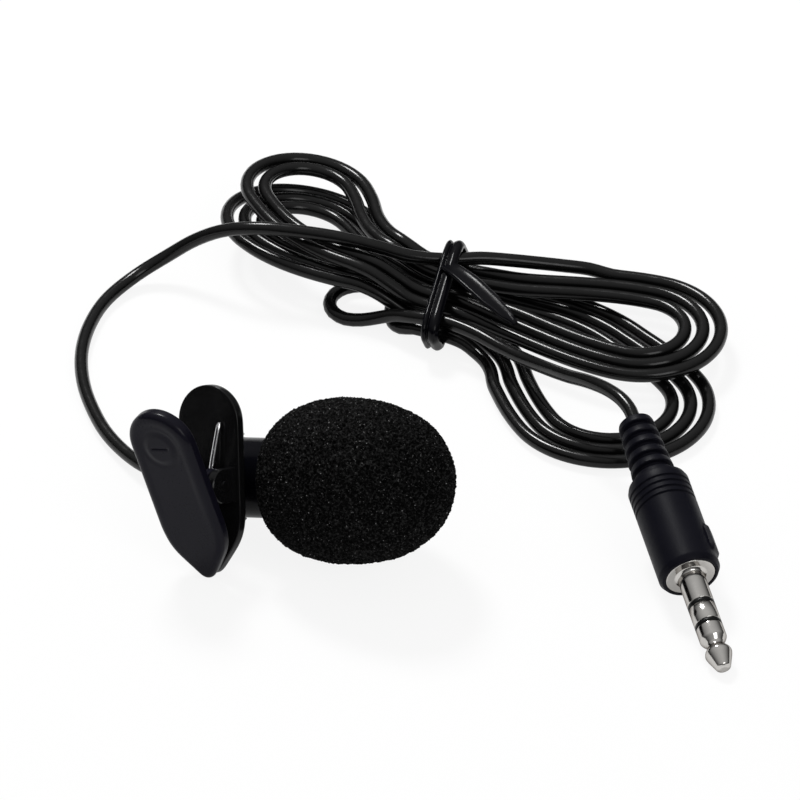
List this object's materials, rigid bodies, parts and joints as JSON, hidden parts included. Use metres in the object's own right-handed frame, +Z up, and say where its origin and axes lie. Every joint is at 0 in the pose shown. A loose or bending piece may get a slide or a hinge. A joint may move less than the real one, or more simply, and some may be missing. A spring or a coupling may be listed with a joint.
{
  "type": "lavalier microphone",
  "caption": "Clip-on lavalier microphone with a foam windscreen, a sprung tie clip, a thin cord tied in a hank and a 3.5 mm three-pole jack plug.",
  "frame": {"origin": "on the table under the middle of the microphone head (clip, barrel and foam windscreen), at the head's lowest point", "axes": "+Z up from the table, +X to the right along the head's longest extent with the foam at +X, +Y away from the viewer towards the cord hank"},
  "size_m": [0.0855, 0.1052, 0.024],
  "materials": {
    "clip_plastic": "satin",
    "barrel_black": "satin",
    "plug_pvc": "satin",
    "cord_pvc": "gloss",
    "tie_plastic": "gloss",
    "soft_rubber": "matt",
    "foam": "matt",
    "felt": "matt",
    "spring_steel": "polished",
    "pin_steel": "satin",
    "steel_mesh": "satin",
    "nickel": "polished",
    "brass": "satin",
    "solder": "satin",
    "aluminium": "satin",
    "circuit_board": "satin",
    "core_insulation": "gloss",
    "inner_plastic": "satin",
    "insulator_black": "gloss"
  },
  "bodies": {
    "root": {"rear_jaw": "clip_plastic", "hinge_pin": "pin_steel", "torsion_spring": "spring_steel", "mic_barrel": "barrel_black", "barrel_back_cap": "barrel_black", "cord_grommet": "soft_rubber", "front_grille": "barrel_black", "cord_tail": "cord_pvc", "cord_crimp": "brass", "wire_cores": "core_insulation", "solder_joints": "solder", "capsule_board": "circuit_board", "electret_capsule": "aluminium", "capsule_ring": "soft_rubber", "felt_disc": "felt", "grille_mesh": "steel_mesh", "mic_lead": "cord_pvc", "cord_hank": "cord_pvc", "plug_lead": "cord_pvc", "twist_tie": "tie_plastic", "plug_tip": "nickel", "tip_insulator": "insulator_black", "plug_ring": "nickel", "ring_insulator": "insulator_black", "plug_sleeve": "nickel", "plug_body": "plug_pvc", "plug_strain_relief": "plug_pvc", "tip_terminal": "brass", "ring_terminal": "brass", "sleeve_terminal": "brass", "plug_cores": "core_insulation", "plug_cord_tail": "cord_pvc", "inner_mould": "inner_plastic"},
    "front_clip": {"front_jaw": "clip_plastic"},
    "windscreen": {"foam_windscreen": "foam"}
  },
  "joints": [
    {"name": "clip_hinge", "type": "hinge", "parent": "root", "child": "front_clip", "pos_m": [-0.01207, -0.00193, 0.01137], "axis": [-0.8213, 0.4742, -0.3173], "range_deg": [0, 25], "stiffness_Nm_per_rad": 0.05, "springref_deg": -11.46, "deforming": ["torsion_spring"]},
    {"name": "windscreen_pull", "type": "slide", "parent": "root", "child": "windscreen", "axis": [0.8213, -0.4742, 0.3173], "range_m": [0, 0.0135]}
  ]
}
